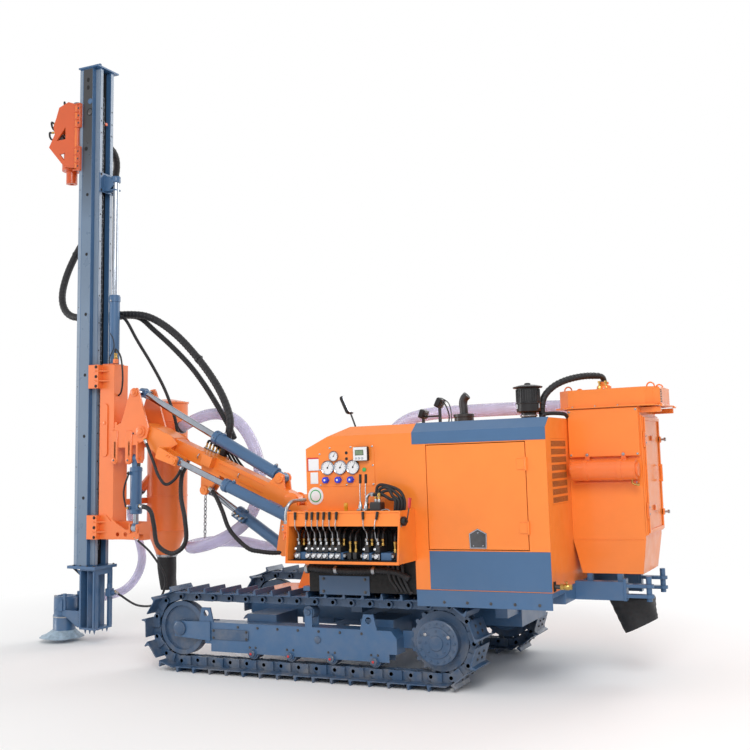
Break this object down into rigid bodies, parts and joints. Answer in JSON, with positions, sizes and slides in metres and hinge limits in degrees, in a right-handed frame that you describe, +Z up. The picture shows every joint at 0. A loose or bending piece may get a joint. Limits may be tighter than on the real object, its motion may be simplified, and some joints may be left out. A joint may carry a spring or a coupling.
{
  "type": "crawler rock drilling rig",
  "caption": "Crawler rock drilling rig: upright mast with sliding rotary head on a hydraulic boom, side lever console, engine housing and rear dust collector.",
  "frame": {"origin": "on the ground, midway between the two tracks and between their axles", "axes": "+X forward to the mast, +Y to the operator's side with the lever console, +Z up"},
  "size_m": [6.7098, 2.2423, 6.1723],
  "materials": {
    "orange_paint": "satin paint",
    "deep_orange_paint": "satin paint",
    "grey_paint": "satin paint",
    "track_steel": "painted cast steel",
    "chrome": "polished",
    "black_rubber": "matt",
    "dark_plastic": "matt",
    "steel": "machined",
    "chain_steel": "oiled",
    "clear_hose": "translucent flexible plastic",
    "black_metal": "satin paint"
  },
  "bodies": {
    "chassis": {"track_left": "track_steel", "track_right": "track_steel", "track_frame_left": "grey_paint", "track_frame_right": "grey_paint", "running_gear_left": "track_steel", "running_gear_right": "track_steel", "chassis_frame": "grey_paint", "carrying_beams": "grey_paint", "deck": "grey_paint", "housing": "orange_paint", "grey_panels": "grey_paint", "rear_grille": "orange_paint", "engine_block": "grey_paint", "console_box": "orange_paint", "valve_bank": "steel", "control_levers": "dark_plastic", "instrument_panel": "steel", "air_cleaner": "dark_plastic", "exhaust_stack": "black_metal", "lamps": "dark_plastic", "dust_box": "orange_paint", "air_tank": "deep_orange_paint", "dust_chute": "black_rubber", "boom_base": "orange_paint", "suction_hose": "clear_hose"},
    "left_door": {"side_door_left": "orange_paint"},
    "right_door": {"side_door_right": "orange_paint"},
    "rear_door": {"dust_door": "orange_paint"},
    "lid": {"dust_lid": "orange_paint"},
    "swing_post": {"swing_post": "orange_paint"},
    "swing_yoke": {"swing_yoke": "grey_paint"},
    "swing_barrel": {"swing_barrel": "grey_paint"},
    "swing_rod": {"swing_rod": "chrome"},
    "lift_barrel": {"lift_barrel": "grey_paint"},
    "lift_rod": {"lift_rod": "chrome"},
    "boom": {"boom": "orange_paint"},
    "tilt_barrel": {"tilt_barrel": "grey_paint"},
    "tilt_rod": {"tilt_rod": "chrome"},
    "tilt_head": {"tilt_head": "deep_orange_paint"},
    "fan_barrel": {"fan_barrel": "grey_paint"},
    "fan_rod": {"fan_rod": "chrome"},
    "carriage": {"carriage": "deep_orange_paint", "comp_barrel": "grey_paint", "cyclone": "deep_orange_paint", "cyclone_sleeve": "black_rubber", "foot_hose": "clear_hose"},
    "mast": {"mast_beam": "grey_paint", "feed_chain": "chain_steel", "comp_rod": "chrome", "mast_foot": "grey_paint", "dust_hood": "black_rubber", "boom_hoses": "black_rubber"},
    "drill_head": {"drill_head": "deep_orange_paint", "head_motors": "black_metal", "head_hoses": "black_rubber"},
    "spindle": {"spindle": "steel"}
  },
  "joints": [
    {"name": "boom_swing", "type": "hinge", "parent": "chassis", "child": "swing_post", "pos_m": [0.35, 0, 1.428], "axis": [0, 0, -1], "range_deg": [-15, 53]},
    {"name": "boom_lift", "type": "hinge", "parent": "swing_post", "child": "boom", "pos_m": [0.54, 0, 1.428], "axis": [0, -1, 0], "range_deg": [-43, 30.7], "deforming": ["suction_hose"]},
    {"name": "lift_barrel_turn", "type": "hinge", "parent": "swing_post", "child": "lift_barrel", "pos_m": [0.64, 0, 0.985], "axis": [0, -1, 0], "range_deg": [-39.18, 28.26]},
    {"name": "lift_rod_slide", "type": "slide", "parent": "lift_barrel", "child": "lift_rod", "axis": [0.8386, 0, 0.5447], "range_m": [-0.33046, 0.23879]},
    {"name": "swing_yoke_turn", "type": "hinge", "parent": "chassis", "child": "swing_yoke", "pos_m": [0.425, 0.218, 1.277], "axis": [0, 0, -1], "range_deg": [-16, 54]},
    {"name": "swing_barrel_turn", "type": "hinge", "parent": "swing_yoke", "child": "swing_barrel", "pos_m": [0.425, 0.218, 1.277], "axis": [0, -1, 0], "range_deg": [-39.53, 28.51]},
    {"name": "swing_rod_slide", "type": "slide", "parent": "swing_barrel", "child": "swing_rod", "axis": [0.9158, 0, 0.4016], "range_m": [-0.0677, 0.21388]},
    {"name": "head_tilt", "type": "hinge", "parent": "boom", "child": "tilt_head", "pos_m": [2.24502, 0, 2.16124], "axis": [0, 1, 0], "range_deg": [-90, 30]},
    {"name": "tilt_barrel_turn", "type": "hinge", "parent": "boom", "child": "tilt_barrel", "pos_m": [0.6701, 0, 1.65703], "axis": [0, 1, 0], "range_deg": [-4.42, 2.14]},
    {"name": "tilt_rod_slide", "type": "slide", "parent": "tilt_barrel", "child": "tilt_rod", "axis": [0.8761, 0, 0.482], "range_m": [-0.55978, 0.19326]},
    {"name": "mast_swing", "type": "hinge", "parent": "tilt_head", "child": "carriage", "pos_m": [2.60401, 0, 2.13144], "axis": [-0.9996, 0, -0.0284], "range_deg": [-10, 30]},
    {"name": "fan_barrel_turn", "type": "hinge", "parent": "tilt_head", "child": "fan_barrel", "pos_m": [2.34166, 0.105, 1.89388], "axis": [-0.9996, 0, -0.0284], "range_deg": [-13.66, 38.98]},
    {"name": "fan_rod_slide", "type": "slide", "parent": "fan_barrel", "child": "fan_rod", "axis": [0.0284, 0, -0.9996], "range_m": [-0.03583, 0.08749]},
    {"name": "mast_slide", "type": "slide", "parent": "carriage", "child": "mast", "axis": [-0.0284, 0, 0.9996], "range_m": [-1.1, 0], "deforming": ["foot_hose", "boom_hoses"]},
    {"name": "drill_feed", "type": "slide", "parent": "mast", "child": "drill_head", "axis": [-0.0284, 0, 0.9996], "range_m": [-3.95, 0.25], "deforming": ["head_hoses"]},
    {"name": "spindle_turn", "type": "hinge", "parent": "drill_head", "child": "spindle", "pos_m": [3.26878, 0, 4.90167], "axis": [-0.0284, 0, 0.9996], "continuous": true},
    {"name": "left_door_swing", "type": "hinge", "parent": "chassis", "child": "left_door", "pos_m": [-2.041, 0.9593, 1.5], "axis": [0, 0, 1], "range_deg": [0, 110]},
    {"name": "right_door_swing", "type": "hinge", "parent": "chassis", "child": "right_door", "pos_m": [-2.041, -0.9593, 1.5], "axis": [0, 0, -1], "range_deg": [0, 110]},
    {"name": "rear_door_swing", "type": "hinge", "parent": "chassis", "child": "rear_door", "pos_m": [-2.791, 0.301, 1.6], "axis": [0, 0, -1], "range_deg": [0, 110]},
    {"name": "lid_swing", "type": "hinge", "parent": "chassis", "child": "lid", "pos_m": [-2.937, 0, 2.15], "axis": [0, -1, 0], "range_deg": [0, 75]}
  ],
  "couplings": [
    {"joint": "lift_barrel_turn", "follows": "boom_lift", "ratio": 0.888},
    {"joint": "lift_rod_slide", "follows": "boom_lift", "m_per_rad": 0.427},
    {"joint": "swing_yoke_turn", "follows": "boom_swing", "ratio": 1},
    {"joint": "swing_barrel_turn", "follows": "boom_lift", "ratio": 0.896},
    {"joint": "swing_rod_slide", "follows": "boom_swing", "m_per_rad": 0.2204},
    {"joint": "tilt_barrel_turn", "follows": "head_tilt", "ratio": 0.038},
    {"joint": "tilt_rod_slide", "follows": "head_tilt", "m_per_rad": 0.35},
    {"joint": "fan_barrel_turn", "follows": "mast_swing", "ratio": 1.266},
    {"joint": "fan_rod_slide", "follows": "mast_swing", "m_per_rad": 0.148}
  ]
}
